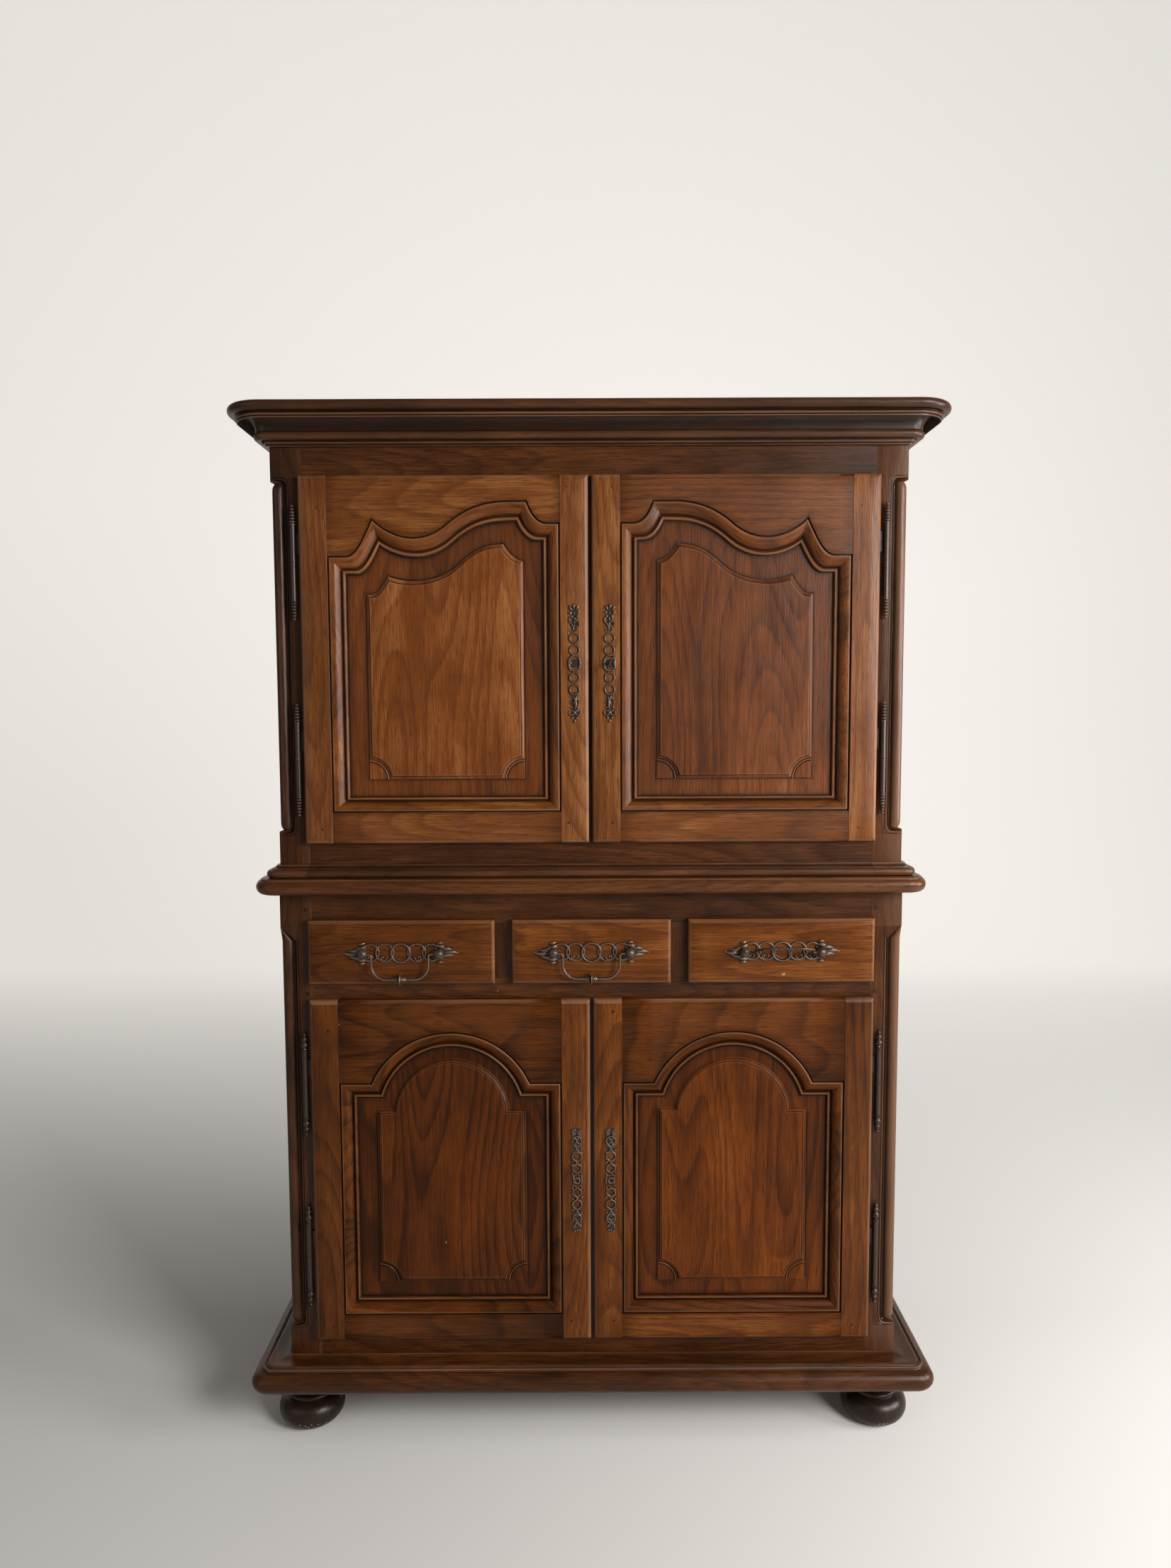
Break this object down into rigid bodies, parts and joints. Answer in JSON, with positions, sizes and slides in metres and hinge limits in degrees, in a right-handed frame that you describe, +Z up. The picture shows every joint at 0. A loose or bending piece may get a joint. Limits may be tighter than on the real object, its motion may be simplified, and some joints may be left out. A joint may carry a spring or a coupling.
{
  "type": "two-part buffet",
  "caption": "Tall two-part wooden buffet: arched panel doors above and below a row of drawers, moulded cornice, torus plinth and bun feet.",
  "frame": {"origin": "on the floor, at the middle of the whole piece's outline", "axes": "+X to the right seen from the front, the doors face -Y, +Z up"},
  "size_m": [1.45, 0.6052, 2.149],
  "materials": {
    "carcase_wood": "satin",
    "door_wood": "satin",
    "panel_wood": "satin",
    "foot_wood": "satin",
    "inside_wood": "matte",
    "wrought_iron": "satin",
    "lock_iron": "satin"
  },
  "bodies": {
    "carcase": {"bun_feet": "foot_wood", "plinth_moulding": "carcase_wood", "lower_posts": "carcase_wood", "lower_centre_post": "carcase_wood", "lower_front_rails": "carcase_wood", "drawer_dividers": "carcase_wood", "lower_side_rails": "carcase_wood", "lower_side_panels": "panel_wood", "lower_back_boards": "inside_wood", "lower_boards": "inside_wood", "drawer_runners": "inside_wood", "counter_top": "carcase_wood", "waist_moulding": "carcase_wood", "upper_posts": "carcase_wood", "upper_centre_post": "carcase_wood", "upper_front_rails": "carcase_wood", "upper_side_rails": "carcase_wood", "upper_side_panels": "panel_wood", "upper_back_boards": "inside_wood", "upper_boards": "inside_wood", "cornice": "carcase_wood", "hinge_pintles": "wrought_iron"},
    "upper_left_door": {"upper_left_door_frame": "door_wood", "upper_left_door_panel": "panel_wood", "upper_left_hinge_knuckles": "wrought_iron", "upper_left_escutcheon": "wrought_iron", "upper_left_lock_case": "lock_iron"},
    "upper_left_bolt": {"upper_left_bolt": "lock_iron"},
    "upper_right_door": {"upper_right_door_frame": "door_wood", "upper_right_door_panel": "panel_wood", "upper_right_hinge_knuckles": "wrought_iron", "upper_right_escutcheon": "wrought_iron", "upper_right_lock_case": "lock_iron"},
    "upper_right_bolt": {"upper_right_bolt": "lock_iron"},
    "lower_left_door": {"lower_left_door_frame": "door_wood", "lower_left_door_panel": "panel_wood", "lower_left_hinge_knuckles": "wrought_iron", "lower_left_escutcheon": "wrought_iron", "lower_left_lock_case": "lock_iron"},
    "lower_left_bolt": {"lower_left_bolt": "lock_iron"},
    "lower_right_door": {"lower_right_door_frame": "door_wood", "lower_right_door_panel": "panel_wood", "lower_right_hinge_knuckles": "wrought_iron", "lower_right_escutcheon": "wrought_iron", "lower_right_lock_case": "lock_iron"},
    "lower_right_bolt": {"lower_right_bolt": "lock_iron"},
    "left_drawer": {"left_drawer_front": "door_wood", "left_drawer_box": "inside_wood", "left_pull_plate": "wrought_iron"},
    "left_bail": {"left_bail": "wrought_iron"},
    "middle_drawer": {"middle_drawer_front": "door_wood", "middle_drawer_box": "inside_wood", "middle_pull_plate": "wrought_iron"},
    "middle_bail": {"middle_bail": "wrought_iron"},
    "right_drawer": {"right_drawer_front": "door_wood", "right_drawer_box": "inside_wood", "right_pull_plate": "wrought_iron"},
    "right_bail": {"right_bail": "wrought_iron"},
    "key": {"door_key": "wrought_iron"}
  },
  "joints": [
    {"name": "upper_left_door_swing", "type": "hinge", "parent": "carcase", "child": "upper_left_door", "pos_m": [-0.6005, -0.21543, 1.644], "axis": [0, 0, -1], "range_deg": [0, 145]},
    {"name": "upper_left_bolt_throw", "type": "slide", "parent": "upper_left_door", "child": "upper_left_bolt", "axis": [1, 0, 0], "range_m": [0, 0.012]},
    {"name": "upper_right_door_swing", "type": "hinge", "parent": "carcase", "child": "upper_right_door", "pos_m": [0.6005, -0.21543, 1.644], "axis": [0, 0, 1], "range_deg": [0, 145]},
    {"name": "upper_right_bolt_throw", "type": "slide", "parent": "upper_right_door", "child": "upper_right_bolt", "axis": [-1, 0, 0], "range_m": [0, 0.012]},
    {"name": "lower_left_door_swing", "type": "hinge", "parent": "carcase", "child": "lower_left_door", "pos_m": [-0.6025, -0.21543, 0.5735], "axis": [0, 0, -1], "range_deg": [0, 145]},
    {"name": "lower_left_bolt_throw", "type": "slide", "parent": "lower_left_door", "child": "lower_left_bolt", "axis": [1, 0, 0], "range_m": [0, 0.012]},
    {"name": "lower_right_door_swing", "type": "hinge", "parent": "carcase", "child": "lower_right_door", "pos_m": [0.6025, -0.21543, 0.5735], "axis": [0, 0, 1], "range_deg": [0, 145]},
    {"name": "lower_right_bolt_throw", "type": "slide", "parent": "lower_right_door", "child": "lower_right_bolt", "axis": [-1, 0, 0], "range_m": [0, 0.012]},
    {"name": "left_drawer_slide", "type": "slide", "parent": "carcase", "child": "left_drawer", "axis": [0, -1, 0], "range_m": [0, 0.33]},
    {"name": "left_bail_swing", "type": "hinge", "parent": "left_drawer", "child": "left_bail", "pos_m": [-0.39475, -0.24093, 1.044], "axis": [-1, 0, 0], "range_deg": [0, 170]},
    {"name": "middle_drawer_slide", "type": "slide", "parent": "carcase", "child": "middle_drawer", "axis": [0, -1, 0], "range_m": [0, 0.33]},
    {"name": "middle_bail_swing", "type": "hinge", "parent": "middle_drawer", "child": "middle_bail", "pos_m": [0, -0.24093, 1.044], "axis": [-1, 0, 0], "range_deg": [0, 170]},
    {"name": "right_drawer_slide", "type": "slide", "parent": "carcase", "child": "right_drawer", "axis": [0, -1, 0], "range_m": [0, 0.33]},
    {"name": "right_bail_swing", "type": "hinge", "parent": "right_drawer", "child": "right_bail", "pos_m": [0.39475, -0.24093, 1.044], "axis": [-1, 0, 0], "range_deg": [-112, 58]},
    {"name": "key_turn", "type": "hinge", "parent": "upper_right_door", "child": "key", "pos_m": [0.0395, -0.20743, 1.639], "axis": [0, 1, 0], "range_deg": [0, 360]}
  ],
  "couplings": [
    {"joint": "key_turn", "follows": "upper_right_bolt_throw", "rad_per_m": 523.6}
  ]
}
